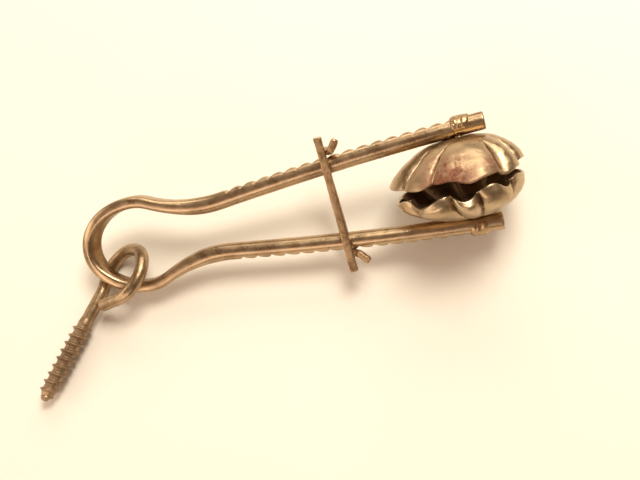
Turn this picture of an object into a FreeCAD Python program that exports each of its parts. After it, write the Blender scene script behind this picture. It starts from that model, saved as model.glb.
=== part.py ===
import FreeCAD, Part
import Sketcher
import math
import os
from FreeCAD import Vector as V

doc = FreeCAD.newDocument("nutcracker")

# ---------------------------------------------------------------- sizes (mm, degrees)
# Local frame of the wire frame: +X from the bow towards the cups, +Y towards the upper
# arm, +Z square to the plane of the frame; the origin is the centre of the bow.
SIZES = [
    ("wire_dia", 4.76, "round spring wire, 3/16 in"),
    ("bow_rad", 11.9, "bow centreline radius"),
    ("bow_long", 14.5, "bow centreline from its centre to its far end"),
    ("bow_turn", 25.0, "how far the bow turns in past the top"),
    ("bow_thick", 3.35, "flattened bow, in the plane"),
    ("bow_wide", 5.5, "flattened bow, across the plane"),
    ("waist_x", 21.0, "waist from the bow centre"),
    ("waist_half", 6.9, "half width at the waist"),
    ("waist_rad", 34.4, "waist centreline radius"),
    ("arm_head", 7.2, "slope of the arm where it leaves the waist"),
    ("arm_rad", 900.0, "long outward curve of the arm"),
    ("arm_end_x", 98.3, "cut end of the arm"),
    ("tooth_pitch", 4.0, "ratchet pitch"),
    ("tooth_deep", 0.75, "ratchet depth"),
    ("tooth_count", 16, "ratchet teeth on each arm"),
    ("tooth_start", 1.3, "first crest along the long curve"),
    ("cup_rad", 17.0, "cup rim radius"),
    ("cup_deep", 8.9, "cup depth over the outside"),
    ("cup_wall", 0.9, "cup sheet"),
    ("cup_half_gap", 1.5, "half the gap between the rims"),
    ("low_half_gap", 2.0, "the same at the lower cup"),
    ("low_tilt_side", 1.0, "the lower rim dips to one side"),
    ("low_tilt_bow", 0.7, "and towards the bow"),
    ("cup_x", 88.6, "rim centre from the bow centre"),
    ("cup_flutes", 10, "flutes round each cup"),
    ("rivet_x", 91.0, "rivet axis from the bow centre"),
    ("rivet_dia", 2.8, "rivet shank"),
    ("rivet_hole", 2.86, "hole for the shank"),
    ("rivet_head", 5.5, "rivet head"),
    ("link_x", 56.3, "slide link from the bow centre"),
    ("link_turn", 3.2, "the loose link sits a little askew"),
    ("bar_wide", 2.2, "front bar width"),
    ("bar_thick", 1.6, "front bar thickness"),
    ("bar_len", 37.0, "front bar length"),
    ("rear_dia", 2.0, "rear bar wire"),
    ("link_clear", 0.32, "clearance of the link from the arms"),
    ("eye_wire", 3.6, "screw eye wire"),
    ("eye_rad", 7.87, "eye centreline radius"),
    ("eye_off", 5.64, "shank axis beside the eye centre"),
    ("eye_len", 40.6, "eye centre to tip"),
    ("thread_len", 23.6, "threaded length"),
    ("thread_core", 4.1, "thread core diameter"),
    ("thread_out", 5.3, "thread outside diameter"),
    ("thread_pitch", 2.35, "thread pitch"),
    ("rest_roll", 27.8, "roll about the long axis when lying"),
    ("rest_pitch", 3.5, "pitch when lying, cups up"),
    ("rest_x", -35.31, "frame origin"),
    ("rest_y", 11.32, "frame origin"),
    ("rest_z", 10.3, "height of the bow centre"),
]
sheet = doc.addObject("Spreadsheet::Sheet", "sizes")
for i, (name, value, note) in enumerate(SIZES, start=1):
    sheet.set("A%d" % i, name)
    sheet.set("B%d" % i, str(value))
    sheet.set("C%d" % i, note)
    sheet.setAlias("B%d" % i, name)
doc.recompute()


def S(name):
    return float(sheet.get(name))


PLACED = FreeCAD.Placement(
    V(S("rest_x"), S("rest_y"), S("rest_z")),
    FreeCAD.Rotation(V(0, 1, 0), -S("rest_pitch")).multiply(
        FreeCAD.Rotation(V(1, 0, 0), S("rest_roll"))
    ),
)

rad = math.radians
wire_r = S("wire_dia") / 2

# ---------------------------------------------------------------- centreline
H0 = rad(S("arm_head"))
WX, WY, WR = S("waist_x"), S("waist_half"), S("waist_rad")
AR = S("arm_rad")
E2 = (WX + WR * math.sin(H0), WY + WR * (1 - math.cos(H0)))


def long_curve(s, r=0.0):
    """Point on the long curve at length s past the waist curve, r outwards of the centreline."""
    h = H0 - s / AR
    x = E2[0] + AR * (math.sin(H0) - math.sin(h))
    y = E2[1] + AR * (math.cos(h) - math.cos(H0))
    return (x - r * math.sin(h), y + r * math.cos(h))


END_HEAD = math.asin(math.sin(H0) - (S("arm_end_x") - E2[0]) / AR)
LONG_LEN = (H0 - END_HEAD) * AR


def arm_y(x):
    sh = math.sin(H0) - (x - E2[0]) / AR
    return E2[1] + AR * (math.sqrt(1 - sh * sh) - math.cos(H0))


# ---------------------------------------------------------------- spring bow (wire node 1)
def ring_wire(c, u, w, half_u, half_w, power):
    pts = []
    n = 16
    for k in range(n):
        t = 2 * math.pi * k / n
        cu, cw = math.cos(t), math.sin(t)
        a = half_u * math.copysign(abs(cu) ** (2.0 / power), cu)
        b = half_w * math.copysign(abs(cw) ** (2.0 / power), cw)
        pts.append(c + u * a + w * b)
    curve = Part.BSplineCurve()
    curve.interpolate(pts, PeriodicFlag=True)
    return Part.Wire([curve.toShape()])


BR, BT = S("bow_rad"), rad(S("bow_turn"))
B1 = (BR * math.sin(BT), BR * math.cos(BT))
# straight run from the bow to the waist curve
DX, DY = WX - B1[0], B1[1] - WY
stations = []
arc_a = math.pi / 2 + BT
steps = 14
for k in range(-steps, steps + 1):
    t = k / steps * arc_a
    rx_ = S("bow_long") if abs(t) < math.pi / 2 else BR
    tx, ty = rx_ * math.sin(t), BR * math.cos(t)
    L = math.hypot(tx, ty)
    stations.append((-rx_ * math.cos(t), BR * math.sin(t), tx / L, ty / L, 1.0))
# reverse curve, upper side: cubic from B1 (slope -BT) to the waist (slope 0)
side = []
n_side = 6
for k in range(1, n_side + 1):
    q = k / n_side
    m0 = -math.tan(BT) * DX
    h00 = 2 * q**3 - 3 * q**2 + 1
    h10 = q**3 - 2 * q**2 + q
    h01 = -2 * q**3 + 3 * q**2
    y = h00 * B1[1] + h10 * m0 + h01 * WY
    d = ((6 * q**2 - 6 * q) * (B1[1] - WY) + (3 * q**2 - 4 * q + 1) * m0) / DX
    x = B1[0] + q * DX
    L = math.hypot(1, d)
    side.append((x, y, 1 / L, d / L, 1 - q * q * (3 - 2 * q)))
lower = [(x, -y, -tx, ty, f) for (x, y, tx, ty, f) in reversed(side)]
sections = lower + stations + side
wires = []
for x, y, tx, ty, f in sections:
    n = V(-ty, tx, 0)
    hu = wire_r + (S("bow_thick") / 2 - wire_r) * f
    hw = wire_r + (S("bow_wide") / 2 - wire_r) * f
    wires.append(ring_wire(V(x, y, 0), n, V(0, 0, 1), hu, hw, 2.0 + 0.7 * f))
bow = doc.addObject("Part::Feature", "spring_bow")
bow.Label = "spring_bow"
bow.Shape = Part.makeLoft(wires, True, False)
bow.Placement = PLACED


# ---------------------------------------------------------------- arms (wire nodes 2 and 3)
def plane_of(body, role):
    for o in body.Origin.OriginFeatures:
        if o.Role == role:
            return o
    return None


def arm(name, sgn):
    body = doc.addObject("PartDesign::Body", name)
    body.Label = name
    path = body.newObject("Sketcher::SketchObject", name + "_path")
    path.AttachmentSupport = [(plane_of(body, "XY_Plane"), "")]
    path.MapMode = "FlatFace"
    up = V(0, 0, 1)
    # curve out of the waist, then the long outward curve
    c1 = V(WX, sgn * (WY + WR), 0)
    c2 = V(E2[0] + AR * math.sin(H0), sgn * (E2[1] - AR * math.cos(H0)), 0)
    if sgn > 0:
        a1 = Part.ArcOfCircle(Part.Circle(c1, up, WR), -math.pi / 2, -math.pi / 2 + H0)
        a2 = Part.ArcOfCircle(Part.Circle(c2, up, AR), math.pi / 2 + END_HEAD, math.pi / 2 + H0)
    else:
        a1 = Part.ArcOfCircle(Part.Circle(c1, up, WR), math.pi / 2 - H0, math.pi / 2)
        a2 = Part.ArcOfCircle(Part.Circle(c2, up, AR), -math.pi / 2 - H0, -math.pi / 2 - END_HEAD)
    path.addGeometry([a1, a2], False)
    prof = body.newObject("Sketcher::SketchObject", name + "_round")
    prof.AttachmentSupport = [(plane_of(body, "YZ_Plane"), "")]
    prof.MapMode = "FlatFace"
    prof.AttachmentOffset = FreeCAD.Placement(V(0, 0, WX), FreeCAD.Rotation())
    prof.setExpression(".AttachmentOffset.Base.z", "sizes.waist_x")
    prof.addGeometry(Part.Circle(V(sgn * WY, 0, 0), up, wire_r), False)
    doc.recompute()
    pipe = body.newObject("PartDesign::AdditivePipe", name + "_rod")
    pipe.Profile = prof
    pipe.Spine = (path, ["Edge1", "Edge2"])
    doc.recompute()
    before = body.Shape.Volume
    # ratchet: gentle rise towards the cups, steep fall on the cup side, small crest flat
    p, dd = S("tooth_pitch"), S("tooth_deep")
    teeth = body.newObject("Sketcher::SketchObject", name + "_ratchet")
    teeth.AttachmentSupport = [(plane_of(body, "XY_Plane"), "")]
    teeth.MapMode = "FlatFace"
    lines = []
    for k in range(int(S("tooth_count"))):
        s0 = S("tooth_start") + p * k
        ring = [
            long_curve(s0 + 0.25, wire_r + 1.5),
            long_curve(s0 + 0.25, wire_r - 0.02),
            long_curve(s0 + 0.25 + p * 0.27, wire_r - dd),
            long_curve(s0 + 0.60 + p * 0.27, wire_r - dd),
            long_curve(s0 + p - 0.25, wire_r - 0.02),
            long_curve(s0 + p - 0.25, wire_r + 1.5),
        ]
        ring = [V(x, sgn * y, 0) for x, y in ring]
        for i in range(len(ring)):
            lines.append(Part.LineSegment(ring[i], ring[(i + 1) % len(ring)]))
    teeth.addGeometry(lines, False)
    doc.recompute()
    cut = body.newObject("PartDesign::Pocket", name + "_teeth")
    cut.Profile = teeth
    cut.Midplane = True
    cut.Length = 12
    cut.setExpression("Length", "sizes.wire_dia * 2.5")
    doc.recompute()
    # rivet hole along the cup axis
    hs = body.newObject("Sketcher::SketchObject", name + "_hole_at")
    hs.AttachmentSupport = [(plane_of(body, "XZ_Plane"), "")]
    hs.MapMode = "FlatFace"
    hs.addGeometry(Part.Circle(V(S("rivet_x"), 0, 0), up, S("rivet_hole") / 2), False)
    hs.addConstraint(Sketcher.Constraint("Radius", 0, S("rivet_hole") / 2))
    hs.setExpression("Constraints[0]", "sizes.rivet_hole / 2")
    doc.recompute()
    hole = body.newObject("PartDesign::Pocket", name + "_hole")
    hole.Profile = hs
    hole.Midplane = True
    hole.Length = 60
    doc.recompute()
    body.Placement = PLACED
    print(name, "rod", round(before, 1), "with teeth and hole", round(body.Shape.Volume, 1))
    return body


upper_arm = arm("upper_arm", 1)
lower_arm = arm("lower_arm", -1)

# ---------------------------------------------------------------- fluted cups
CR, CD, CW, CG = S("cup_rad"), S("cup_deep"), S("cup_wall"), S("cup_half_gap")
NF = int(S("cup_flutes"))
# height over the rim as a share of the depth, radius as a share of the rim, flute depth mm
PROFILE = [
    (0.00, 1.000, 0.60),
    (0.22, 0.945, 1.05),
    (0.46, 0.830, 1.25),
    (0.72, 0.655, 1.00),
    (0.90, 0.465, 0.45),
    (1.00, 0.250, 0.00),
]


def cup_wire(sgn, height, radius, depth, low=0.0):
    share = max(0.0, min(1.0, height / CD))
    cx = S("cup_x") + (S("rivet_x") - S("cup_x")) * share**1.3
    gap = CG if sgn > 0 else S("low_half_gap")
    pts = []
    per = 8
    for k in range(NF * per):
        t = 2 * math.pi * (k + 0.5) / (NF * per)
        w = (0.5 + 0.5 * math.cos(NF * t)) ** 3
        r = radius - depth * w
        y = sgn * (gap + (CD + CG - gap) * height / CD)
        if sgn < 0:
            fade = 1.0 - share
            y += fade * (S("low_tilt_bow") * math.cos(t) - S("low_tilt_side") * math.sin(t)) * r / CR
        pts.append(V(cx + r * math.cos(t), y, r * math.sin(t)))
    curve = Part.BSplineCurve()
    curve.interpolate(pts, PeriodicFlag=True)
    return Part.Wire([curve.toShape()])


def cup(name, sgn):
    outer = [cup_wire(sgn, h * CD, r * CR, d) for h, r, d in PROFILE]
    solid = Part.makeLoft(outer, True, False)
    # inner skin: the same profile moved in by the sheet thickness
    pts = [(h * CD, r * CR, d) for h, r, d in PROFILE]
    inner = []
    for i, (h, r, d) in enumerate(pts):
        a = pts[max(0, i - 1)]
        b = pts[min(len(pts) - 1, i + 1)]
        dh, dr = b[0] - a[0], b[1] - a[1]
        L = math.hypot(dh, dr)
        inner.append((h + CW * dr / L, r - CW * dh / L, d))
    h0, r0, d0 = inner[0]
    first = (-0.8, r0 + (r0 - inner[1][1]) * (h0 + 0.8) / (inner[1][0] - h0), d0)
    last = (CD - CW, inner[-1][1] * 0.9, 0.0)
    inner = [first] + inner[1:-1] + [last]
    hollow = Part.makeLoft([cup_wire(sgn, h, r, d) for h, r, d in inner], True, False)
    hole = Part.makeCylinder(
        S("rivet_hole") / 2, 40, V(S("rivet_x"), sgn * (CG + CD - 20), 0), V(0, sgn, 0)
    )
    shape = solid.cut(hollow).cut(hole)
    print(name, "outer", round(solid.Volume, 1), "cup", round(shape.Volume, 1))
    f = doc.addObject("Part::Feature", name)
    f.Label = name
    f.Shape = shape.Solids[0] if len(shape.Solids) == 1 else shape
    f.Placement = PLACED
    return f


upper_cup = cup("upper_cup", 1)
lower_cup = cup("lower_cup", -1)


# ---------------------------------------------------------------- rivets
def rivet(name, sgn):
    ay = arm_y(S("rivet_x"))
    face = FreeCAD.Rotation(V(1, 0, 0), -90 * sgn)

    def cyl(tag, y0, length, radius_expr, length_expr=None):
        c = doc.addObject("Part::Cylinder", name + "_" + tag)
        c.setExpression("Radius", radius_expr)
        if length_expr:
            c.setExpression("Height", length_expr)
        else:
            c.Height = length
        c.Placement = FreeCAD.Placement(V(S("rivet_x"), sgn * y0, 0), face)
        return c

    inside = CG + CD - CW
    shank = cyl("shank", inside - 0.4, ay + wire_r - inside + 0.5, "sizes.rivet_dia / 2")
    inner = cyl("inner", inside - 0.95, 0.95, "sizes.rivet_head / 2")
    head = cyl("head", ay + 1.0, wire_r - 1.0 + 0.55, "sizes.rivet_head / 2")
    rod = doc.addObject("Part::Cylinder", name + "_seat")
    rod.setExpression("Radius", "sizes.wire_dia / 2 + 0.01")
    rod.Height = 14
    slope = math.degrees(math.asin(math.sin(H0) - (S("rivet_x") - E2[0]) / AR))
    r = FreeCAD.Rotation(V(0, 0, 1), sgn * slope).multiply(FreeCAD.Rotation(V(0, 1, 0), 90))
    d = r.multVec(V(0, 0, 1))
    rod.Placement = FreeCAD.Placement(V(S("rivet_x"), sgn * ay, 0) - d * 7, r)
    doc.recompute()
    saddle = doc.addObject("Part::Cut", name + "_saddle")
    saddle.Base, saddle.Tool = head, rod
    doc.recompute()
    # soft edges on both heads
    fi = doc.addObject("Part::Fillet", name + "_soft")
    fi.Base = inner
    rim = []
    for i, e in enumerate(inner.Shape.Edges, start=1):
        if len(e.Vertexes) == 1 and e.Length > 5:
            cm = e.CenterOfMass.y * sgn
            if cm < inside - 0.5:
                rim.append((i, 0.45, 0.45))
    fi.Edges = rim
    doc.recompute()
    f = doc.addObject("Part::MultiFuse", name)
    f.Label = name
    f.Shapes = [shank, fi, saddle]
    doc.recompute()
    f.Placement = PLACED
    return f


upper_rivet = rivet("upper_rivet", 1)
lower_rivet = rivet("lower_rivet", -1)

# ---------------------------------------------------------------- slide link
LINK = PLACED.multiply(
    FreeCAD.Placement(V(S("link_x"), 0, 0), FreeCAD.Rotation(V(0, 0, 1), S("link_turn")))
)
W_OUT = arm_y(S("link_x")) + wire_r + S("link_clear")
bar_z = wire_r + S("link_clear") + S("bar_thick") / 2

fb = doc.addObject("PartDesign::Body", "link_front_bar")
fb.Label = "link_front_bar"
fs = fb.newObject("Sketcher::SketchObject", "front_bar_outline")
fs.AttachmentSupport = [(plane_of(fb, "XY_Plane"), "")]
fs.MapMode = "FlatFace"
fs.AttachmentOffset = FreeCAD.Placement(V(0, 0, bar_z), FreeCAD.Rotation())
w, l = S("bar_wide") / 2, S("bar_len") / 2
corner = [V(-w, -l, 0), V(w, -l, 0), V(w, l, 0), V(-w, l, 0)]
fs.addGeometry([Part.LineSegment(corner[i], corner[(i + 1) % 4]) for i in range(4)], False)
doc.recompute()
pad = fb.newObject("PartDesign::Pad", "front_bar_pad")
pad.Profile = fs
pad.Midplane = True
pad.setExpression("Length", "sizes.bar_thick")
doc.recompute()
rnd = fb.newObject("PartDesign::Fillet", "front_bar_edges")
long_edges = [
    "Edge%d" % i for i, e in enumerate(pad.Shape.Edges, start=1) if e.Length > S("bar_len") - 0.5
]
rnd.Base = (pad, long_edges)
rnd.Radius = 0.45
doc.recompute()
fb.Placement = LINK

# rear bar: runs behind the arms, its ends lean up outside each arm and end in a short splayed tail
rr = S("rear_dia") / 2
rx = S("bar_wide") / 2 + rr + 0.55
rx_back = rx - 3.6
ry = W_OUT + rr
zb = -(wire_r + S("link_clear") + rr)
zt = bar_z
bend = 1.7
tail = 3.4
ux, uy = math.sin(rad(38)), math.cos(rad(38))


def corner_arc(p, q, r, radius):
    """Tangent arc at q between the runs p-q and q-r: start, middle and end points."""
    a = (p - q).normalize()
    b = (r - q).normalize()
    half = a.getAngle(b) / 2
    cut = radius / math.tan(half)
    mid_dir = (a + b).normalize()
    centre = q + mid_dir * (radius / math.sin(half))
    return q + a * cut, centre - mid_dir * radius, q + b * cut


nodes = [
    V(rx + tail * ux, -(ry + tail * uy), zt),
    V(rx, -ry, zt),
    V(rx_back, -ry, zb),
    V(rx_back, ry, zb),
    V(rx, ry, zt),
    V(rx + tail * ux, ry + tail * uy, zt),
]
edges = []
at = nodes[0]
for i in range(1, len(nodes) - 1):
    radius = bend if i in (2, 3) else 1.25
    s, m, e = corner_arc(nodes[i - 1], nodes[i], nodes[i + 1], radius)
    edges.append(Part.makeLine(at, s))
    edges.append(Part.Arc(s, m, e).toShape())
    at = e
edges.append(Part.makeLine(at, nodes[-1]))
spine = Part.Wire(edges)
d0 = (nodes[1] - nodes[0]).normalize()
prof = Part.Wire([Part.Circle(nodes[0], d0, rr).toShape()])
rear = doc.addObject("Part::Feature", "link_rear_bar")
rear.Label = "link_rear_bar"
rear.Shape = spine.makePipeShell([prof], True, True)
rear.Placement = LINK
print("rear bar", round(rear.Shape.Volume, 2), "of", round(spine.Length * math.pi * rr * rr, 2))

# ---------------------------------------------------------------- screw eye
# Own frame: eye centre at the origin, shank towards -Y, eye in the XY plane.
ew, er, eo = S("eye_wire") / 2, S("eye_rad"), S("eye_off")
cphi = (eo + er) / (2 * er)
phi = math.acos(cphi)
yb = -2 * er * math.sin(phi)
tip_y = -S("eye_len")
core_r, out_r = S("thread_core") / 2, S("thread_out") / 2
thread_top = tip_y + S("thread_len")
p0 = V(-eo, thread_top + 1.0, 0)
p1 = V(-eo, yb, 0)
c1 = V(-eo - er, yb, 0)
p2 = V(-er * cphi, -er * math.sin(phi), 0)
m1 = c1 + V(er * math.cos(phi / 2), er * math.sin(phi / 2), 0)
end_ang = rad(-60.6)
p3 = V(er * math.cos(end_ang), er * math.sin(end_ang), 0)
mid_ang = (math.pi + phi + end_ang) / 2
m2 = V(er * math.cos(mid_ang), er * math.sin(mid_ang), 0)
# the free end runs straight back to the shank
p4 = p3 + V(math.sin(end_ang), -math.cos(end_ang), 0) * 6.62
eye_spine = Part.Wire(
    [
        Part.makeLine(p0, p1),
        Part.Arc(p1, m1, p2).toShape(),
        Part.Arc(p2, m2, p3).toShape(),
        Part.makeLine(p3, p4),
    ]
)
eye_prof = Part.Wire([Part.Circle(p0, V(0, 1, 0), ew).toShape()])
ring = eye_spine.makePipeShell([eye_prof], True, True)
print("eye", round(ring.Volume, 1), "of", round(eye_spine.Length * math.pi * ew * ew, 1))
# threaded part: core, shoulder cone, blunt conical tip
tip_len = 2.6
prof_pts = [
    (0, thread_top + 1.6),
    (ew - 0.02, thread_top + 1.6),
    (core_r, thread_top + 0.2),
    (core_r, tip_y + tip_len),
    (0.75, tip_y),
    (0, tip_y),
    (0, thread_top + 1.6),
]
poly = Part.Face(Part.makePolygon([V(x - eo, y, 0) for x, y in prof_pts]))
core = poly.revolve(V(-eo, 0, 0), V(0, 1, 0), 360)
pitch = S("thread_pitch")
turns_len = S("thread_len") - tip_len - 0.4
helix = Part.makeHelix(pitch, turns_len, core_r)
half_base, depth = 0.62, out_r - core_r
tri = Part.makePolygon(
    [
        V(core_r - 0.15, 0, -half_base),
        V(core_r - 0.15, 0, half_base),
        V(core_r + depth, 0, 0.16),
        V(core_r + depth, 0, -0.16),
        V(core_r - 0.15, 0, -half_base),
    ]
)
ridge = Part.Wire(helix.Edges).makePipeShell([Part.Wire(tri.Edges)], True, True)
ridge.rotate(V(0, 0, 0), V(1, 0, 0), -90)
ridge.translate(V(-eo, tip_y + tip_len - 0.1, 0))
eye = doc.addObject("Part::Feature", "screw_eye")
eye.Label = "screw_eye"
body_shape = ring.fuse(core)
whole = body_shape.fuse(ridge)
print("eye solids", len(whole.Solids), "valid", whole.isValid(), round(body_shape.Volume, 1), round(whole.Volume, 1))
eye.Shape = whole.Solids[0] if len(whole.Solids) == 1 else whole

# where it hangs: hooked on the bow, shank lying out and away
up_local = PLACED.Rotation.inverted().multVec(V(0, 0, 1))
hook = rad(217.8)
P0 = V(S("bow_long") * math.cos(hook), BR * math.sin(hook), 0)
s_dir = V(-0.5355, -0.8445, 0)
s_dir = s_dir - up_local * (s_dir.dot(up_local))
s_dir = (s_dir.normalize() - up_local * -0.0062).normalize()
Ye = s_dir * -1
side_dir = Ye.cross(up_local).normalize()
tilt = rad(35.1)
upn = side_dir.cross(Ye).normalize()
if upn.dot(up_local) < 0:
    upn = upn * -1
Xe = (side_dir * math.cos(tilt) + upn * math.sin(tilt)).normalize()
Ze = Xe.cross(Ye).normalize()
centre = P0 - s_dir * 2.010 + up_local * 0.191 + side_dir * 3.345
M = FreeCAD.Matrix(
    Xe.x, Ye.x, Ze.x, centre.x,
    Xe.y, Ye.y, Ze.y, centre.y,
    Xe.z, Ye.z, Ze.z, centre.z,
    0, 0, 0, 1,
)
eye.Placement = PLACED.multiply(FreeCAD.Placement(M))

doc.recompute()

# ---------------------------------------------------------------- checks and files
NODES = [
    bow, upper_arm, lower_arm, upper_cup, lower_cup, upper_rivet, lower_rivet,
    fb, rear, eye,
]
for o in doc.Objects:
    if "Invalid" in o.State or "Error" in o.State:
        raise RuntimeError("bad state: %s %s" % (o.Name, o.State))
os.makedirs("parts", exist_ok=True)
for o in NODES:
    s = o.Shape
    if s.isNull() or not s.isValid() or s.Volume <= 0:
        raise RuntimeError("bad shape: " + o.Label)
    bb = s.BoundBox
    print("%-15s V %9.1f solids %d  x %.1f..%.1f y %.1f..%.1f z %.2f..%.2f" % (
        o.Label, s.Volume, len(s.Solids), bb.XMin, bb.XMax, bb.YMin, bb.YMax, bb.ZMin, bb.ZMax))
    s.exportStep("parts/%s.step" % o.Label)
print("interference:")
for i in range(len(NODES)):
    for j in range(i + 1, len(NODES)):
        a, b = NODES[i].Shape, NODES[j].Shape
        if a.BoundBox.intersect(b.BoundBox):
            c = a.common(b).Volume
            d = a.distToShape(b)[0]
            if c > 0.0005 or d < 1.0:
                print("  %-15s %-15s common %.4f dist %.3f" % (NODES[i].Label, NODES[j].Label, c, d))
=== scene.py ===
import math
import random

import bpy
import numpy as np
from mathutils import Matrix, Vector, noise


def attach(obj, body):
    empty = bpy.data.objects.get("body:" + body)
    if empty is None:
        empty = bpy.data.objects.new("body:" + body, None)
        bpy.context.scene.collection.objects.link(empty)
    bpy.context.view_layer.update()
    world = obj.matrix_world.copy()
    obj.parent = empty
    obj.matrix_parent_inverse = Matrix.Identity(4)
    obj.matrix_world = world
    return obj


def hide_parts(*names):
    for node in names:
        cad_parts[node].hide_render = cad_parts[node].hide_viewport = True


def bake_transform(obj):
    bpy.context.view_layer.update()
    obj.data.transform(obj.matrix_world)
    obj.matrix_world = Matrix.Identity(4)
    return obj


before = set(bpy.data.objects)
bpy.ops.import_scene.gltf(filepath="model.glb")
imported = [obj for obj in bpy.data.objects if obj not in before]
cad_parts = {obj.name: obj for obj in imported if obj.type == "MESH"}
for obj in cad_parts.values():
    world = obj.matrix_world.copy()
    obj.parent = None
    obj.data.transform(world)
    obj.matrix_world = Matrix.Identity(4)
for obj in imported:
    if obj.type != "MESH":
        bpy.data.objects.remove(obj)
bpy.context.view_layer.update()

# ------------------------------------------------------------------ sizes, mm, in the wire frame's own axes
MM = 0.001
REST_ROLL, REST_PITCH = 27.8, 3.5
REST = (-35.31, 11.32, 10.3)
WIRE_R = 2.38
BOW_R, BOW_LONG, BOW_TURN = 11.9, 14.5, math.radians(25.0)
BOW_THICK, BOW_WIDE = 3.35, 5.5
WAIST_X, WAIST_Y, WAIST_R = 21.0, 6.9, 34.4
H0 = math.radians(7.2)
ARM_R, ARM_END = 900.0, 98.3
PITCH, TOOTH_DEEP, TEETH, TOOTH_0 = 4.0, 0.75, 16, 1.3
CUP_R, CUP_D, CUP_W, CUP_X = 17.0, 9.1, 0.9, 88.6
GAP_U, GAP_L = 1.5, 2.0
RIVET_X = 91.0
LINK_X, LINK_TURN = 56.3, math.radians(3.2)

ro, pi_ = math.radians(REST_ROLL), -math.radians(REST_PITCH)
RX = np.array([[1, 0, 0], [0, math.cos(ro), -math.sin(ro)], [0, math.sin(ro), math.cos(ro)]])
RY = np.array([[math.cos(pi_), 0, math.sin(pi_)], [0, 1, 0], [-math.sin(pi_), 0, math.cos(pi_)]])
ROT = RY @ RX
OFF = np.array(REST)


def row(p):
    """Points in the wire frame's axes, mm, to the row frame, metres."""
    return (np.asarray(p, float) @ ROT.T + OFF) * MM


E2 = (WAIST_X + WAIST_R * math.sin(H0), WAIST_Y + WAIST_R * (1 - math.cos(H0)))


def arm_y(x):
    sh = math.sin(H0) - (x - E2[0]) / ARM_R
    return E2[1] + ARM_R * (math.sqrt(1 - sh * sh) - math.cos(H0))


def smooth(x):
    x = np.clip(x, 0, 1)
    return x * x * (3 - 2 * x)


def wob(p, scale, seed):
    """Smooth noise in -1..1 at points p (n,3)."""
    out = np.empty(len(p))
    for i, q in enumerate(p):
        out[i] = noise.noise(Vector((q[0] * scale + seed, q[1] * scale - seed, q[2] * scale + 2 * seed)))
    return out


# ------------------------------------------------------------------ mesh helpers
def mesh_object(name, verts, faces, smooth_shade=True):
    me = bpy.data.meshes.new(name)
    me.from_pydata([tuple(v) for v in verts], [], faces)
    me.validate()
    me.update()
    if smooth_shade:
        me.polygons.foreach_set("use_smooth", [True] * len(me.polygons))
    ob = bpy.data.objects.new(name, me)
    bpy.context.scene.collection.objects.link(ob)
    return ob


def grid_faces(n_rows, n_cols, closed_cols=True, start=0):
    faces = []
    last = n_cols if closed_cols else n_cols - 1
    for i in range(n_rows - 1):
        for j in range(last):
            a = start + i * n_cols + j
            b = start + i * n_cols + (j + 1) % n_cols
            c = start + (i + 1) * n_cols + (j + 1) % n_cols
            d = start + (i + 1) * n_cols + j
            faces.append((a, d, c, b))
    return faces


def cap(faces, ring, centre, flip=False):
    n = len(ring)
    for j in range(n):
        a, b = ring[j], ring[(j + 1) % n]
        faces.append((a, b, centre) if flip else (b, a, centre))


# ------------------------------------------------------------------ frame wire centreline
def centreline():
    """Stations from the bow's far end along the upper side: x, y, tangent, flatness, arm length."""
    pts = []
    n = 90
    for k in range(n + 1):
        t = (math.pi / 2 + BOW_TURN) * k / n
        rx = BOW_LONG if t < math.pi / 2 else BOW_R
        pts.append((-rx * math.cos(t), BOW_R * math.sin(t), 1.0))
    bx, by = pts[-1][0], pts[-1][1]
    dx = WAIST_X - bx
    m0 = -math.tan(BOW_TURN) * dx
    n = 60
    for k in range(1, n + 1):
        q = k / n
        y = (2 * q**3 - 3 * q**2 + 1) * by + (q**3 - 2 * q**2 + q) * m0 + (3 * q**2 - 2 * q**3) * WAIST_Y
        pts.append((bx + q * dx, y, 1 - q * q * (3 - 2 * q)))
    n = 16
    for k in range(1, n + 1):
        h = H0 * k / n
        pts.append((WAIST_X + WAIST_R * math.sin(h), WAIST_Y + WAIST_R * (1 - math.cos(h)), 0.0))
    end_h = math.asin(math.sin(H0) - (ARM_END - E2[0]) / ARM_R)
    length = (H0 - end_h) * ARM_R
    n = int(length / 0.16)
    for k in range(1, n + 1):
        h = H0 - (H0 - end_h) * k / n
        pts.append((E2[0] + ARM_R * (math.sin(H0) - math.sin(h)), E2[1] + ARM_R * (math.cos(h) - math.cos(H0)), 0.0))
    return np.array(pts), length


CL, LONG_LEN = centreline()
CL_T = np.gradient(CL[:, :2], axis=0)
CL_T[0] = (0, 1)
CL_T /= np.linalg.norm(CL_T, axis=1)[:, None]
CL_S = np.r_[0, np.cumsum(np.hypot(*np.diff(CL[:, :2], axis=0).T))]
S_E2 = CL_S[90 + 60 + 16]


def tooth_cut(s, rng):
    """How far the outer side stands from the centreline at length s past the waist curve."""
    cut = np.full(len(s), 99.0)
    for k in range(TEETH):
        s0 = TOOTH_0 + PITCH * k
        d = TOOTH_DEEP * rng.uniform(1.1, 1.35)
        u = (s - s0) / PITCH
        inside = (u >= 0) & (u <= 1)
        fall = 1 - np.clip(u / 0.36, 0, 1) ** 2.1
        rise = 1 - (1 - np.clip((u - 0.36) / 0.64, 0, 1)) ** 1.7
        v = WIRE_R - d * (1 - np.where(u < 0.36, fall, rise))
        cut = np.where(inside, np.minimum(cut, v), cut)
    return cut


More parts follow.
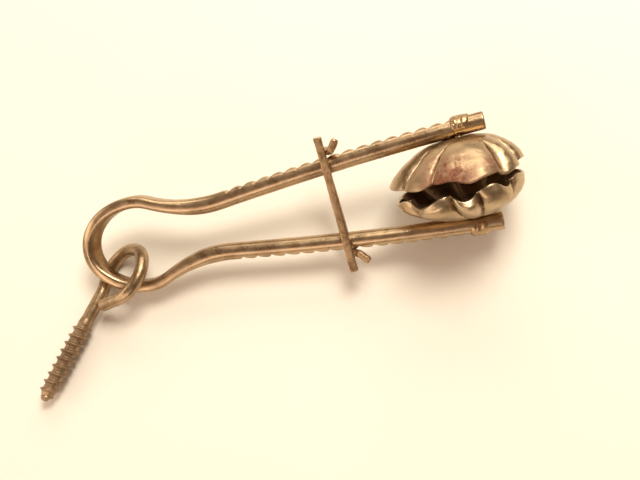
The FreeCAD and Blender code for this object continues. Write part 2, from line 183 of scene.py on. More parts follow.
def wire_half(name, sgn):
    rng = random.Random(7 if sgn > 0 else 11)
    NS = 48
    th = np.arange(NS) * 2 * math.pi / NS
    s_arm = CL_S - S_E2
    cut = tooth_cut(s_arm, rng)
    verts = []
    for i in range(len(CL)):
        x, y, flat = CL[i]
        tx, ty = CL_T[i]
        hu = WIRE_R + (BOW_THICK / 2 - WIRE_R) * flat
        hw = WIRE_R + (BOW_WIDE / 2 - WIRE_R) * flat
        p = 2.0 + 1.3 * flat
        c, s_ = np.cos(th), np.sin(th)
        u = hu * np.sign(c) * np.abs(c) ** (2 / p)
        w = hw * np.sign(s_) * np.abs(s_) ** (2 / p)
        lim = cut[i]
        if lim < 50:
            k = 0.05
            u = np.where(u > lim - 0.4, -k * np.logaddexp(-u / k, -lim / k), u)
        # last 0.4 mm: the sawn end is a little eased
        left = CL_S[-1] - CL_S[i]
        if left < 0.45:
            f = 1 - 0.13 * (1 - math.sqrt(max(0.0, 1 - (1 - left / 0.45) ** 2)))
            u, w = u * f, w * f
        # the strip is twisted a little round the far end of the bow
        ang_t = math.pi * 0.5 * CL_S[i] / CL_S[90]
        reach = 1.45 if sgn > 0 else 0.60
        beta = math.radians(27.0) * (1 - float(smooth(ang_t / reach)))
        u, w = u * math.cos(beta) + w * math.sin(beta), w * math.cos(beta) - u * math.sin(beta)
        nx, ny = -ty, tx
        for a, b in zip(u, w):
            verts.append((x + nx * a, sgn * (y + ny * a), b))
    verts = np.array(verts)
    n1 = wob(verts, 0.16, 3.1 + sgn)
    n2 = wob(verts, 0.9, 8.4 + sgn)
    centre = np.repeat(np.c_[CL[:, 0], sgn * CL[:, 1], np.zeros(len(CL))], NS, axis=0)
    d = verts - centre
    verts = centre + d * (1 + 0.010 * n1 + 0.004 * n2)[:, None]
    # the first ring is shared by both halves
    verts[:NS] = centre[:NS] + d[:NS]
    verts[:NS, 1] = 0
    faces = grid_faces(len(CL), NS)
    if sgn < 0:
        faces = [tuple(reversed(f)) for f in faces]
    end = len(verts)
    last = list(range((len(CL) - 1) * NS, len(CL) * NS))
    tip_c = centre[-1] + np.array([CL_T[-1][0], sgn * CL_T[-1][1], 0]) * 0.02
    verts = np.vstack([verts, tip_c])
    cap(faces, last, end, flip=sgn < 0)
    ob = mesh_object(name, row(verts), faces)
    ob.data.materials.append(MAT["wire"])
    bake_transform(ob)
    return ob


# ------------------------------------------------------------------ materials
def new_mat(name):
    m = bpy.data.materials.new(name)
    m.use_nodes = True
    nt = m.node_tree
    for n in list(nt.nodes):
        nt.nodes.remove(n)
    out = nt.nodes.new("ShaderNodeOutputMaterial")
    b = nt.nodes.new("ShaderNodeBsdfPrincipled")
    nt.links.new(b.outputs[0], out.inputs[0])
    return m, nt, b


def N(nt, kind, **vals):
    n = nt.nodes.new(kind)
    for k, v in vals.items():
        if hasattr(n, k):
            setattr(n, k, v)
    return n


def ramp(nt, fac, stops):
    r = nt.nodes.new("ShaderNodeValToRGB")
    cr = r.color_ramp
    while len(cr.elements) > 1:
        cr.elements.remove(cr.elements[-1])
    cr.elements[0].position = stops[0][0]
    cr.elements[0].color = (*stops[0][1], 1)
    for p, c in stops[1:]:
        e = cr.elements.new(p)
        e.color = (*c, 1)
    nt.links.new(fac, r.inputs[0])
    return r


def noise_tex(nt, co, scale, detail=4.0, rough=0.55, dist=0.0):
    n = nt.nodes.new("ShaderNodeTexNoise")
    n.inputs["Scale"].default_value = scale
    n.inputs["Detail"].default_value = detail
    n.inputs["Roughness"].default_value = rough
    n.inputs["Distortion"].default_value = dist
    nt.links.new(co, n.inputs["Vector"])
    return n


def mix(nt, fac, a, b, kind="MIX"):
    m = nt.nodes.new("ShaderNodeMix")
    m.data_type = "RGBA"
    m.blend_type = kind
    if isinstance(fac, (int, float)):
        m.inputs[0].default_value = fac
    else:
        nt.links.new(fac, m.inputs[0])
    for sock, v in ((m.inputs[6], a), (m.inputs[7], b)):
        if isinstance(v, tuple):
            sock.default_value = (*v, 1)
        else:
            nt.links.new(v, sock)
    return m.outputs[2]


def worn_metal(name, base, dark, rust, rust_at=0.60, rough=(0.28, 0.5), bump=0.10, seed=0.0, fine=1600.0, grime_k=0.3, rust_soft=0.08, spots=()):
    """Aged plated steel: tarnish in broad clouds, fine scratches and pits, rust where the plate has gone."""
    m, nt, b = new_mat(name)
    tc = nt.nodes.new("ShaderNodeTexCoord")
    mp = nt.nodes.new("ShaderNodeMapping")
    mp.inputs["Location"].default_value = (seed, seed * 0.7, -seed)
    nt.links.new(tc.outputs["Object"], mp.inputs["Vector"])
    co = mp.outputs[0]
    broad = noise_tex(nt, co, 95, 3, 0.6, 0.3)
    mid = noise_tex(nt, co, 420, 5, 0.62)
    tiny = noise_tex(nt, co, fine, 3, 0.6)
    tarnish = ramp(nt, broad.outputs["Fac"], [(0.30, dark), (0.50, base), (0.72, tuple(min(1, c * 1.14) for c in base))])
    grime = ramp(nt, mid.outputs["Fac"], [(0.33, (0.55, 0.47, 0.40)), (0.56, (1, 1, 1))])
    col = mix(nt, grime_k, tarnish.outputs[0], grime.outputs[0], "MULTIPLY")
    rn = noise_tex(nt, co, 190, 7, 0.68, 0.6)
    rmask = ramp(nt, rn.outputs["Fac"], [(rust_at, (0, 0, 0)), (rust_at + rust_soft, (1, 1, 1))])
    worn = rmask.outputs[0]
    for where, reach, most in spots:
        far = nt.nodes.new("ShaderNodeVectorMath")
        far.operation = "DISTANCE"
        nt.links.new(tc.outputs["Object"], far.inputs[0])
        far.inputs[1].default_value = tuple(where)
        fall = nt.nodes.new("ShaderNodeMapRange")
        fall.inputs["From Min"].default_value = reach
        fall.inputs["From Max"].default_value = reach * 0.35
        fall.inputs["To Min"].default_value = 0.0
        fall.inputs["To Max"].default_value = most
        nt.links.new(far.outputs["Value"], fall.inputs["Value"])
        rough_n = ramp(nt, mid.outputs["Fac"], [(0.38, (0.30, 0.30, 0.30)), (0.52, (1, 1, 1))])
        both = nt.nodes.new("ShaderNodeMath")
        both.operation = "MULTIPLY"
        nt.links.new(fall.outputs[0], both.inputs[0])
        nt.links.new(rough_n.outputs[0], both.inputs[1])
        top = nt.nodes.new("ShaderNodeMath")
        top.operation = "MAXIMUM"
        nt.links.new(worn, top.inputs[0])
        nt.links.new(both.outputs[0], top.inputs[1])
        worn = top.outputs[0]
    rtone = ramp(nt, tiny.outputs["Fac"], [(0.35, tuple(c * 0.45 for c in rust)), (0.65, rust)])
    col = mix(nt, worn, col, rtone.outputs[0])
    nt.links.new(col, b.inputs["Base Color"])
    metal = nt.nodes.new("ShaderNodeMapRange")
    metal.inputs["From Min"].default_value = 0
    metal.inputs["From Max"].default_value = 1
    metal.inputs["To Min"].default_value = 1.0
    metal.inputs["To Max"].default_value = 0.25
    nt.links.new(worn, metal.inputs["Value"])
    nt.links.new(metal.outputs[0], b.inputs["Metallic"])
    rg = nt.nodes.new("ShaderNodeMapRange")
    rg.inputs["From Min"].default_value = 0.3
    rg.inputs["From Max"].default_value = 0.7
    rg.inputs["To Min"].default_value = rough[0]
    rg.inputs["To Max"].default_value = rough[1]
    nt.links.new(mid.outputs["Fac"], rg.inputs["Value"])
    rr = nt.nodes.new("ShaderNodeMath")
    rr.operation = "MULTIPLY_ADD"
    nt.links.new(worn, rr.inputs[0])
    rr.inputs[1].default_value = 0.30
    nt.links.new(rg.outputs[0], rr.inputs[2])
    nt.links.new(rr.outputs[0], b.inputs["Roughness"])
    bp = nt.nodes.new("ShaderNodeBump")
    bp.inputs["Strength"].default_value = bump
    bp.inputs["Distance"].default_value = 0.0004
    mixh = nt.nodes.new("ShaderNodeMath")
    mixh.operation = "ADD"
    nt.links.new(mid.outputs["Fac"], mixh.inputs[0])
    nt.links.new(tiny.outputs["Fac"], mixh.inputs[1])
    nt.links.new(mixh.outputs[0], bp.inputs["Height"])
    nt.links.new(bp.outputs[0], b.inputs["Normal"])
    return m


RED = (0.30, 0.11, 0.05)
MAT = {
    "wire": worn_metal("aged_wire", (0.48, 0.345, 0.205), (0.31, 0.205, 0.115), (0.17, 0.07, 0.03), rust_at=0.66, rough=(0.24, 0.38), bump=0.05, seed=0.013),
    "cup_up": worn_metal("aged_cup_upper", (0.52, 0.39, 0.235), (0.34, 0.24, 0.135), RED, rust_at=0.60, rough=(0.26, 0.42), bump=0.10, seed=0.171, rust_soft=0.16,
                         spots=[(row([86.5, 3.0, 16.5]), 0.0105, 1.0), (row([84, 6.5, 13.0]), 0.006, 0.7), (row([97.5, 3.2, 13.5]), 0.0045, 0.8)]),
    "cup": worn_metal("aged_cup", (0.52, 0.395, 0.24), (0.34, 0.24, 0.135), (0.28, 0.12, 0.055), rust_at=0.62, rough=(0.26, 0.42), bump=0.08, seed=0.23, rust_soft=0.14),
    # painted shade: the cups' inner skin gets a darker copy of the metal for the shade inside the hollow; the rust
    # mixed into it is real rust
    "cup_in": worn_metal("cup_inside_painted_shade", (0.30, 0.19, 0.10), (0.13, 0.07, 0.035), (0.12, 0.05, 0.025), rust_at=0.58, rough=(0.34, 0.55), bump=0.1, seed=0.3),
    # painted shade: a darker copy of the cup metal, laid along the deep creases of the cups
    "cup_fold_shade": worn_metal("painted_shade_in_folds", (0.24, 0.155, 0.085), (0.13, 0.075, 0.04), (0.12, 0.05, 0.025), rust_at=0.56, rough=(0.34, 0.52), bump=0.12, seed=0.36),
    "rivet": worn_metal("hammered", (0.50, 0.35, 0.20), (0.24, 0.14, 0.07), (0.18, 0.07, 0.035), rust_at=0.56, rough=(0.2, 0.38), bump=0.4, seed=0.41, grime_k=0.6),
    "link": worn_metal("rough_link", (0.46, 0.31, 0.17), (0.26, 0.16, 0.08), (0.24, 0.11, 0.05), rust_at=0.55, rough=(0.30, 0.48), bump=0.5, seed=0.52, grime_k=0.6),
    "eye": worn_metal("eye_wire", (0.46, 0.33, 0.195), (0.30, 0.20, 0.11), (0.17, 0.075, 0.03), rust_at=0.60, rough=(0.26, 0.44), bump=0.15, seed=0.66, grime_k=0.4,
                      spots=[(row([-22.5, -32.0, 8.0]), 0.022, 0.55)]),
}

# ------------------------------------------------------------------ frame wire
wire_half("wire_upper", 1)
wire_half("wire_lower", -1)
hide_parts("spring_bow", "upper_arm")
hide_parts("spring_bow", "lower_arm")

# ------------------------------------------------------------------ cups
PROFILE_T = np.array([0.0, 0.22, 0.46, 0.70, 0.86, 0.95, 1.0])
PROFILE_R = np.array([1.0, 0.945, 0.835, 0.675, 0.52, 0.37, 0.13])


def prof_r(t):
    """Radius share at height share t, smooth through the profile."""
    t = np.clip(t, 0, 1)
    out = np.interp(t, PROFILE_T, PROFILE_R)
    for d in (-0.03, 0.03):
        out = out + np.interp(np.clip(t + d, 0, 1), PROFILE_T, PROFILE_R)
    return out / 3


def cup(name, sgn, radius, creases, waves, body, mat, fuller=0.0):
    """creases: angle from the near side towards the free end, degrees, with its depth in mm."""
    cr = sorted((a % 360, d) for a, d in creases)
    ang = np.array([a for a, _ in cr] + [cr[0][0] + 360])
    dep = np.array([d for _, d in cr] + [cr[0][1]])
    NT = 360
    phi = np.arange(NT) * 360.0 / NT
    lobe = np.zeros(NT)
    # the rim's own wave, eased from one point to the next
    wa = np.array([a for a, _ in waves], float)
    wd = np.array([d for _, d in waves], float)
    rim_wave = np.zeros(NT)
    for j in range(NT):
        q = (phi[j] + 180) % 360 - 180
        k = int(np.searchsorted(wa, q)) % len(wa)
        a0_, a1_ = wa[k - 1], wa[k]
        span = (a1_ - a0_) % 360
        u = ((q - a0_) % 360) / span
        rim_wave[j] = wd[k - 1] + (wd[k] - wd[k - 1]) * (0.5 - 0.5 * math.cos(math.pi * u))
    for k in range(len(cr)):
        for j in range(NT):
            q = phi[j]
            if q < ang[0]:
                q += 360
            if ang[k] <= q < ang[k + 1]:
                u = (q - ang[k]) / (ang[k + 1] - ang[k])
                d = dep[k] * (1 - u) + dep[k + 1] * u
                lobe[j] = (1 - math.sin(math.pi * u) ** 0.55) * d + 0.30 * math.exp(-((min(u, 1 - u) * (ang[k + 1] - ang[k]) / 2.6) ** 2)) * min(1.0, d)
    gap = GAP_U if sgn > 0 else GAP_L
    NR = 46
    rows = []

    def surface(offset, t_list, fl):
        for t in t_list:
            h = t * CUP_D
            r = prof_r(t) * radius
            # normal to the profile, for the sheet's inner face
            dr = (prof_r(t + 0.02) - prof_r(t - 0.02)) * radius
            dh = 0.04 * CUP_D
            L = math.hypot(dr, dh)
            rr = r - offset * dh / L
            hh = h + offset * dr / L
            f = (0.85 + 0.35 * smooth(t / 0.35)) * (1 - 0.93 * smooth((t - 0.5) / 0.5)) * fl
            share = max(0.0, min(1.0, hh / CUP_D))
            cx = CUP_X + (RIVET_X - CUP_X) * share**1.3
            fade = 1 - share
            ring = []
            for j in range(NT):
                a = math.radians(phi[j])
                sx, cz = math.sin(a), math.cos(a)
                R = rr - lobe[j] * f + fuller * max(0.0, cz) ** 0.8 * math.sin(math.pi * min(1.0, t * 1.02)) ** 1.1
                y = gap + (CUP_D + GAP_U - gap) * hh / CUP_D
                y += rim_wave[j] * fade**1.6
                y *= sgn
                if sgn < 0:
                    y += fade * (0.7 * sx - 1.0 * cz) * R / radius
                ring.append((cx + R * sx, y, R * cz))
            rows.append(ring)

    ts = np.linspace(0.0, 1.0, NR) ** 0.9
    # outer skin from the hub out to the rim, round the rim, inner skin back to the hub
    outer = list(ts[::-1])
    surface(0.0, outer, 1.0)
    n_out = len(rows)
    # rounded rim between the two skins
    for k in range(1, 6):
        a = math.pi * k / 6
        off = CUP_W * (1 - math.cos(a)) / 2
        t_rim = -math.sin(a) * 0.26 / CUP_D
        h0 = len(rows)
        surface(off, [0.0], 1.0)
        rows[h0] = [(x, y + sgn * t_rim * CUP_D, z) for x, y, z in rows[h0]]
    n_rim = len(rows)
    surface(CUP_W, list(ts), 1.0)
    verts = np.array(rows).reshape(-1, 3)
    n1 = wob(verts[: len(verts)], 0.22, 5.0 + sgn)
    n2 = wob(verts, 1.1, 9.0 + sgn)
    axis = np.array([CUP_X + 1.2, sgn * 5.0, 0])
    dirs = verts - axis
    dirs /= np.linalg.norm(dirs, axis=1)[:, None]
    amp = (0.16 * n1 + 0.04 * n2)[:, None]
    verts = verts + dirs * amp
    n_rows = len(rows)
    faces = grid_faces(n_rows, NT)
    # hub: close outer and inner skin to the rivet hole
    base = len(verts)
    r_hole = 1.15
    hub_o, hub_i = [], []
    for j in range(NT):
        a = math.radians(phi[j])
        hub_o.append((RIVET_X + r_hole * math.sin(a), sgn * (CUP_D + GAP_U), r_hole * math.cos(a)))
    for j in range(NT):
        a = math.radians(phi[j])
        hub_i.append((RIVET_X + r_hole * math.sin(a), sgn * (CUP_D + GAP_U - CUP_W), r_hole * math.cos(a)))
    verts = np.vstack([verts, hub_o, hub_i])
    for j in range(NT):
        k = (j + 1) % NT
        faces.append((base + j, j, k, base + k))
        i0 = (n_rows - 1) * NT
        faces.append((i0 + j, base + NT + j, base + NT + k, i0 + k))
        faces.append((base + NT + j, base + j, base + k, base + NT + k))
    ob = mesh_object(name, row(verts), faces)
    ob.data.materials.append(MAT[mat])
    ob.data.materials.append(MAT["cup_in"])
    ob.data.materials.append(MAT["cup_fold_shade"])
    idx = np.zeros(len(ob.data.polygons), int)
    for p in ob.data.polygons:
        rr_ = min(v // NT for v in p.vertices)
        # inner skin: takes the darker material, painted shade inside the cup
        if n_rim <= rr_ < n_rows:
            idx[p.index] = 1
        elif rr_ < n_out - 1:
            # painted shade: faces along the deep creases get a darker material that stands in for the shade in the
            # folds
            q = phi[min(v % NT for v in p.vertices)]
            t_ = outer[rr_]
            for k in range(len(cr)):
                if dep[k] < 1.0:
                    continue
                gap_a = abs((q - ang[k] + 180) % 360 - 180)
                wide = 1.1 + 1.3 * noise.noise(Vector((t_ * 7.0, ang[k], sgn * 2.0))) + 0.7 * t_
                if gap_a < wide and t_ < 0.86:
                    idx[p.index] = 2
    ob.data.polygons.foreach_set("material_index", idx.tolist())
    # normals all outwards from the sheet
    import bmesh

    bm = bmesh.new()
    bm.from_mesh(ob.data)
    bmesh.ops.recalc_face_normals(bm, faces=bm.faces)
    bm.to_mesh(ob.data)
    bm.free()
    ob.data.update()
    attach(ob, body)
    return ob


up_creases = [(-55, 1.9), (-22, 2.2), (10, 0.25), (42, 2.3), (72, 2.0)] + [(110.8 + 38.8 * k, 1.7) for k in range(5)]
lo_creases = [(-56, 2.3), (-9, 2.6), (16, 2.6), (56, 2.3)] + [(105 + 39.8 * k, 1.7) for k in range(5)]
up_waves = [(-176, 0.4), (-155, 0.1), (-133, 0.4), (-110, 0.1), (-90, 0.2), (-65, -0.3), (-35, -0.5), (-20, 0.5), (-6, 0.8), (10, -0.7), (25, 0.1), (35, 0.3), (44, -1.0), (60, -0.1), (82, 1.0), (100, 0.4), (122, 0.1), (144, 0.4), (165, 0.1)]
lo_waves = [(-176, 0.3), (-155, 0.6), (-133, 0.2), (-110, 0.4), (-80, 0.4), (-56, -0.9), (-37.5, 0.9), (-12.6, -1.1), (3.6, 1.0), (29, -1.3), (46, 0.9), (65, -0.6), (82, 0.4), (100, 0.3), (122, 0.6), (144, 0.2), (165, 0.5)]
cu = cup("cup_upper_sheet", 1, CUP_R + 0.9, up_creases, up_waves, "upper_jaw", "cup_up")
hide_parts("upper_cup")
cl = cup("cup_lower_sheet", -1, CUP_R + 0.1, lo_creases, lo_waves, "lower_jaw", "cup", fuller=2.4)
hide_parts("lower_cup")

# ------------------------------------------------------------------ rivets: saddle head hammered over the arm, shank, inner head
slope = math.asin(math.sin(H0) - (RIVET_X - E2[0]) / ARM_R)


def rivet(name, sgn, body):
    ay = arm_y(RIVET_X)
    verts, faces = [], []
    NR_, NA = 26, 72
    rng = random.Random(5 + sgn)

    def place(p_along, q, out):
        """A point on the rod's skin: p along the rod, q around it from the outer side, out above the skin."""
        r = WIRE_R + out
        n_, o_ = r * math.sin(q), r * math.cos(q)
        x = RIVET_X + p_along * math.cos(slope) - o_ * math.sin(slope)
        y = ay + p_along * math.sin(slope) + o_ * math.cos(slope)
        return (x, sgn * y, n_)

    for i in range(NR_):
        f = i / (NR_ - 1)
        for j in range(NA):
            a = 2 * math.pi * j / NA
            wig = 1 + 0.06 * math.sin(3 * a + 1.1 * sgn) + 0.05 * math.sin(5 * a + 2.3)
            ca, sa = math.cos(a), math.sin(a)
            p = 2.55 * f * math.copysign(abs(ca) ** 0.75, ca) * wig + 0.9
            q = 1.95 * f * math.copysign(abs(sa) ** 0.75, sa) * wig
            prof = 0.50 * math.sqrt(max(0.0, 1 - f**7)) + 0.16 * (1 - f * f) - 0.05
            nz = noise.noise(Vector((p * 1.5 + 7 * sgn, q * 2.2, 3.3)))
            verts.append(place(p, q, prof + 0.22 * nz * (1 - f**4)))
    faces += grid_faces(NR_, NA)
    if sgn < 0:
        faces = [tuple(reversed(f)) for f in faces]
    # shank through the cup and the inner head
    base = len(verts)
    rings = [(CUP_D + GAP_U + 0.6, 1.1), (CUP_D + GAP_U - CUP_W, 1.1), (CUP_D + GAP_U - CUP_W - 0.02, 2.55), (CUP_D + GAP_U - CUP_W - 0.3, 2.72), (CUP_D + GAP_U - CUP_W - 0.62, 2.5), (CUP_D + GAP_U - CUP_W - 0.86, 1.9), (CUP_D + GAP_U - CUP_W - 0.97, 1.0), (CUP_D + GAP_U - CUP_W - 1.0, 0.05)]
    for y, r in rings:
        for j in range(NA):
            a = 2 * math.pi * j / NA
            rr = r * (1 + 0.03 * math.sin(4 * a + y))
            verts.append((RIVET_X + rr * math.cos(a), sgn * y, rr * math.sin(a)))
    fs = grid_faces(len(rings), NA, start=base)
    faces += fs if sgn < 0 else [tuple(reversed(f)) for f in fs]
    ob = mesh_object(name, row(np.array(verts)), faces)
    ob.data.materials.append(MAT["rivet"])
    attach(ob, body)
    return ob


ru = rivet("rivet_upper", 1, "upper_jaw")
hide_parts("upper_rivet")
rl = rivet("rivet_lower", -1, "lower_jaw")
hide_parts("lower_rivet")


# ------------------------------------------------------------------ sweeps along a path
def resample(path, step):
    path = np.asarray(path, float)
    s = np.r_[0, np.cumsum(np.linalg.norm(np.diff(path, axis=0), axis=1))]
    n = max(2, int(s[-1] / step))
    q = np.linspace(0, s[-1], n + 1)
    return np.c_[[np.interp(q, s, path[:, k]) for k in range(3)]].T, q


def round_path(nodes, radii):
    """Polyline with tangent arcs at the inner corners."""
    nodes = [np.array(p, float) for p in nodes]
    out = [nodes[0]]
    for i in range(1, len(nodes) - 1):
        a = nodes[i - 1] - nodes[i]
        b = nodes[i + 1] - nodes[i]
        a /= np.linalg.norm(a)
        b /= np.linalg.norm(b)
        half = math.acos(np.clip(a @ b, -1, 1)) / 2
        r = radii[i - 1]
        cutl = r / math.tan(half)
        mid = (a + b) / np.linalg.norm(a + b)
        cen = nodes[i] + mid * (r / math.sin(half))
        s, e = nodes[i] + a * cutl, nodes[i] + b * cutl
        vs, ve = s - cen, e - cen
        ang = math.acos(np.clip(vs @ ve / (r * r), -1, 1))
        for k in range(13):
            q = k / 12
            out.append(cen + (math.sin((1 - q) * ang) * vs + math.sin(q * ang) * ve) / math.sin(ang))
    out.append(nodes[-1])
    return np.array(out)


def sweep(path, section, closed_ends=True, up0=(0, 0, 1)):
    """section(i, s, total) gives (n,2) offsets along the two cross axes; frames carried along the path."""
    pts, s = path
    t = np.gradient(pts, axis=0)
    t /= np.linalg.norm(t, axis=1)[:, None]
    up = np.array(up0, float)
    up -= t[0] * (up @ t[0])
    up /= np.linalg.norm(up)
    verts = []
    n = None
    for i in range(len(pts)):
        up = up - t[i] * (up @ t[i])
        up /= np.linalg.norm(up)
        side = np.cross(t[i], up)
        sec = section(i, s[i], s[-1])
        n = len(sec)
        for a, b in sec:
            verts.append(pts[i] + side * a + up * b)
    faces = grid_faces(len(pts), n)
    faces = [tuple(reversed(f)) for f in faces]
    if closed_ends:
        c0, c1 = len(verts), len(verts) + 1
        verts.append(pts[0])
        verts.append(pts[-1])
        cap(faces, list(range(n)), c0, flip=False)
        cap(faces, list(range((len(pts) - 1) * n, len(pts) * n)), c1, flip=True)
    return np.array(verts), faces


def superell(n, hu, hw, p):
    th = np.arange(n) * 2 * math.pi / n
    c, s = np.cos(th), np.sin(th)
    return np.c_[hu * np.sign(c) * np.abs(c) ** (2 / p), hw * np.sign(s) * np.abs(s) ** (2 / p)]


cl_, sl_ = math.cos(LINK_TURN), math.sin(LINK_TURN)


def link_to_frame(v):
    v = np.asarray(v, float)
    return np.c_[LINK_X + v[:, 0] * cl_ - v[:, 1] * sl_, v[:, 0] * sl_ + v[:, 1] * cl_, v[:, 2]]


LINK_CLEAR = 0.32
BAR_W, BAR_T, BAR_L, REAR_D = 2.15, 1.6, 37.0, 2.0
W_OUT = arm_y(LINK_X) + WIRE_R + LINK_CLEAR
BAR_Z = WIRE_R + LINK_CLEAR + BAR_T / 2

# front bar: a flat, hand-cut bar, slightly bowed and uneven along its length
pts = []
for k in range(150):
    q = -1 + 2 * k / 149
    pts.append((0.12 * math.sin(2.1 * q + 0.4), q * BAR_L / 2, BAR_Z + 0.05 * math.cos(3 * q)))
pts = np.array(pts)
sarr = np.r_[0, np.cumsum(np.linalg.norm(np.diff(pts, axis=0), axis=1))]


def bar_section(i, s, total):
    e = min(s, total - s)
    f = 1 - 0.16 * (1 - min(1.0, e / 0.5)) ** 2
    k = 1 + 0.03 * math.sin(s * 0.7) + 0.02 * math.sin(s * 1.9 + 1)
    return superell(36, BAR_W / 2 * f * k, BAR_T / 2 * f, 5.0)


v, f = sweep((pts, sarr), bar_section)
v = v + np.c_[wob(v, 0.8, 21.0) * 0.05, np.zeros(len(v)), wob(v, 0.8, 27.0) * 0.05]
fb = mesh_object("link_bar_front", row(link_to_frame(v)), f)
fb.data.materials.append(MAT["link"])
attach(fb, "link")
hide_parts("link_front_bar")

rr_ = REAR_D / 2
rx_ = BAR_W / 2 + rr_ + 0.55
rx_back = rx_ - 3.6
ry_ = W_OUT + rr_
zb_ = -(WIRE_R + LINK_CLEAR + rr_)
ux_, uy_ = math.sin(math.radians(38)), math.cos(math.radians(38))
TAIL = 3.2
nodes_ = [
    (rx_ + TAIL * ux_, -(ry_ + TAIL * uy_), BAR_Z),
    (rx_, -ry_, BAR_Z),
    (rx_back, -ry_, zb_),
    (rx_back, ry_, zb_),
    (rx_, ry_, BAR_Z),
    (rx_ + TAIL * ux_, ry_ + TAIL * uy_, BAR_Z),
]
path = resample(round_path(nodes_, [1.25, 1.7, 1.7, 1.25]), 0.22)


def rear_section(i, s, total):
    e = min(s, total - s)
    f = 1 - 0.25 * (1 - min(1.0, e / 0.6)) ** 2
    k = 1 + 0.04 * math.sin(s * 0.9) + 0.03 * math.sin(s * 2.3 + 2)
    return superell(32, rr_ * f * k, rr_ * f * (2 - k), 3.0)


v, f = sweep(path, rear_section, up0=(1, 0, 0))
v = v + np.c_[wob(v, 0.9, 31.0), wob(v, 0.9, 35.0), wob(v, 0.9, 39.0)] * 0.05
rb = mesh_object("link_bar_rear", row(link_to_frame(v)), f)
rb.data.materials.append(MAT["link"])
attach(rb, "link")
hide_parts("link_rear_bar")

# ------------------------------------------------------------------ screw eye
EW, ER, EO, ELEN = 1.8, 7.87, 5.64, 40.6
FREE = 6.62
T_LEN, T_CORE, T_OUT, T_PITCH = 23.6, 3.9, 5.7, 2.35
cphi = (EO + ER) / (2 * ER)
phi_ = math.acos(cphi)
yb = -2 * ER * math.sin(phi_)
eye_pts = [(-EO, -ELEN, 0), (-EO, yb, 0)]
for k in range(1, 25):
    a = phi_ * k / 24
    eye_pts.append((-EO - ER + ER * math.cos(a), yb + ER * math.sin(a), 0))
a0, a1 = math.pi + phi_, math.radians(-60.6)
for k in range(1, 121):
    a = a0 + (a1 - a0) * k / 120
    eye_pts.append((ER * math.cos(a), ER * math.sin(a), 0))
for k in range(1, 9):
    eye_pts.append((ER * math.cos(a1) + math.sin(a1) * FREE * k / 8, ER * math.sin(a1) - math.cos(a1) * FREE * k / 8, 0))
path = resample(eye_pts, 0.13)
TIP = 2.6


def eye_section(i, s, total):
    n = 48
    th = np.arange(n) * 2 * math.pi / n
    top = T_LEN + 0.4
    if s < TIP:
        core = 0.75 + (T_CORE / 2 - 0.75) * (s / TIP) ** 0.8
    elif s < top:
        core = T_CORE / 2
    elif s < top + 1.2:
        core = T_CORE / 2 + (EW - T_CORE / 2) * ((s - top) / 1.2)
    else:
        core = EW * (1 - 0.01 * math.sin(s * 0.6))
    r = np.full(n, core)
    if s < T_LEN + 0.3:
        ph = (s / T_PITCH + th / (2 * math.pi)) % 1.0
        d = np.abs(ph - 0.5)
        ridge = np.clip(1 - d / 0.25, 0, 1) ** 0.8
        fade = min(1.0, s / 1.2) * min(1.0, 0.35 + 0.65 * s / 5.0) * min(1.0, (T_LEN + 0.3 - s) / 1.6)
        r = r + (T_OUT - T_CORE) / 2 * ridge * fade
    e = total - s
    if e < 0.3:
        r = r * (1 - 0.1 * (1 - e / 0.3) ** 2)
    return np.c_[r * np.cos(th), r * np.sin(th)]


v, f = sweep(path, eye_section)
v = v + np.c_[wob(v, 0.8, 51.0), wob(v, 0.8, 55.0), wob(v, 0.8, 59.0)] * 0.045
# where it hangs on the bow
u_ = ROT.T @ np.array([0, 0, 1.0])
hk = math.radians(217.8)
s_dir = np.array([-0.5355, -0.8445, 0.0])
s_dir -= u_ * (s_dir @ u_)
s_dir /= np.linalg.norm(s_dir)
s_dir -= u_ * -0.0062
s_dir /= np.linalg.norm(s_dir)
Ye = -s_dir
side_ = np.cross(Ye, u_)
side_ /= np.linalg.norm(side_)
upn = np.cross(side_, Ye)
upn *= np.sign(upn @ u_)
tilt = math.radians(35.1)
Xe = side_ * math.cos(tilt) + upn * math.sin(tilt)
Xe /= np.linalg.norm(Xe)
Ze = np.cross(Xe, Ye)
EC = np.array([BOW_LONG * math.cos(hk), BOW_R * math.sin(hk), 0]) - s_dir * 2.010 + u_ * 0.191 + side_ * 3.345
v = EC + v[:, :1] * Xe + v[:, 1:2] * Ye + v[:, 2:3] * Ze
ey = mesh_object("eye_screw", row(v), f)
ey.data.materials.append(MAT["eye"])
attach(ey, "eye")
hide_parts("screw_eye")

# ------------------------------------------------------------------ floor
m, nt, b = new_mat("pale_table")
tc = nt.nodes.new("ShaderNodeTexCoord")
n1 = noise_tex(nt, tc.outputs["Object"], 9, 3, 0.5)
r1 = ramp(nt, n1.outputs["Fac"], [(0.3, (0.93, 0.870, 0.755)), (0.7, (0.945, 0.89, 0.78))])
nt.links.new(r1.outputs[0], b.inputs["Base Color"])
b.inputs["Roughness"].default_value = 0.6
size = 1.6
n_f = 24
fv = [((i / n_f - 0.5) * size, (j / n_f - 0.5) * size, 0.0) for j in range(n_f + 1) for i in range(n_f + 1)]
ff = grid_faces(n_f + 1, n_f + 1, closed_cols=False)
me = bpy.data.meshes.new("table")
me.from_pydata(fv, [], [tuple(reversed(q)) for q in ff])
me.update()
floor = bpy.data.objects.new("table", me)
bpy.context.scene.collection.objects.link(floor)
me.materials.append(m)
floor.location = (0, 0, 0)

# ------------------------------------------------------------------ camera
AZ, EL, ROLL = 21.16, 71.49, -30.47
TX, TY, DIST = 14.60, 6.12, 245.5
FPX = 900.0


def look(az, el, roll):
    a, e, r = math.radians(az), math.radians(el), math.radians(roll)
    back = np.array([math.sin(a) * math.cos(e), -math.cos(a) * math.cos(e), math.sin(e)])
    right = np.array([math.cos(a), math.sin(a), 0.0])
    up = np.cross(back, right)
    return back, right * math.cos(r) + up * math.sin(r), -right * math.sin(r) + up * math.cos(r)


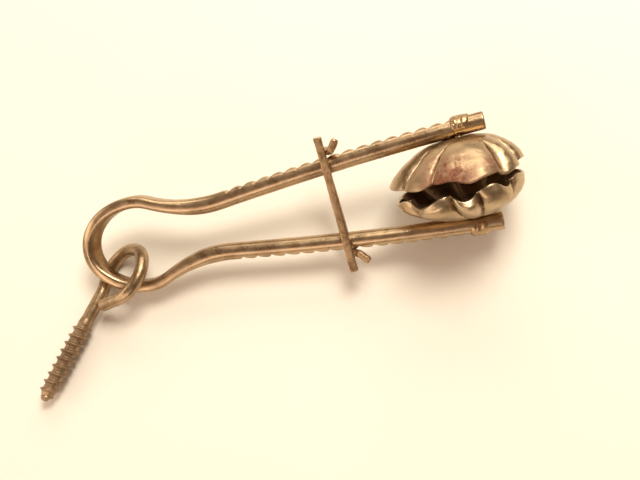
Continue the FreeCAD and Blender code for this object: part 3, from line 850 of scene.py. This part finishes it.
back, right, up = look(AZ, EL, ROLL)
pos = (np.array([-1.34, 0.23, 8.0]) + right * TX + up * TY + back * DIST) * MM
cam_d = bpy.data.cameras.new("cam")
cam = bpy.data.objects.new("cam", cam_d)
bpy.context.scene.collection.objects.link(cam)
cam_d.sensor_width = 36
cam_d.lens = FPX / 640 * 36
cam_d.clip_start = 0.01
cam_d.clip_end = 10
M = Matrix(((right[0], up[0], back[0], pos[0]), (right[1], up[1], back[1], pos[1]), (right[2], up[2], back[2], pos[2]), (0, 0, 0, 1)))
cam.matrix_world = M
bpy.context.scene.camera = cam


# ------------------------------------------------------------------ light
def area(name, where, size_, power, colour, at=(0.0, 0.0, 0.0)):
    d = bpy.data.lights.new(name, "AREA")
    d.shape = "RECTANGLE"
    d.size, d.size_y = size_
    d.energy = power
    d.color = colour
    o = bpy.data.objects.new(name, d)
    bpy.context.scene.collection.objects.link(o)
    o.location = where
    aim = Vector(at) - Vector(where)
    o.rotation_mode = "QUATERNION"
    o.rotation_quaternion = aim.to_track_quat("-Z", "Y")
    return o


# light comes from the far side of the picture, high up: image-up seen on the floor
img_up = np.array([up[0], up[1]])
img_up /= np.linalg.norm(img_up)
img_rt = np.array([right[0], right[1]])
img_rt /= np.linalg.norm(img_rt)
k = 0.30 * img_up + 0.16 * img_rt
area("key", (k[0], k[1], 0.62), (0.30, 0.30), 3.9, (1.0, 0.935, 0.82))
k = 0.80 * img_up
area("sky_far", (k[0], k[1], 0.48), (1.0, 0.35), 3.8, (1.0, 0.935, 0.81))
k = -0.62 * img_up - 0.30 * img_rt
area("fill", (k[0], k[1], 0.42), (0.9, 0.40), 2.6, (1.0, 0.82, 0.70))
k = -0.85 * img_rt
area("side", (k[0], k[1], 0.42), (0.7, 0.4), 2.4, (1.0, 0.88, 0.74))

w = bpy.data.worlds.new("studio")
bpy.context.scene.world = w
w.use_nodes = True
bg = w.node_tree.nodes.get("Background")
bg.inputs[0].default_value = (1.0, 0.70, 0.52, 1)
bg.inputs[1].default_value = 0.27
bpy.context.scene.view_settings.view_transform = "Standard"
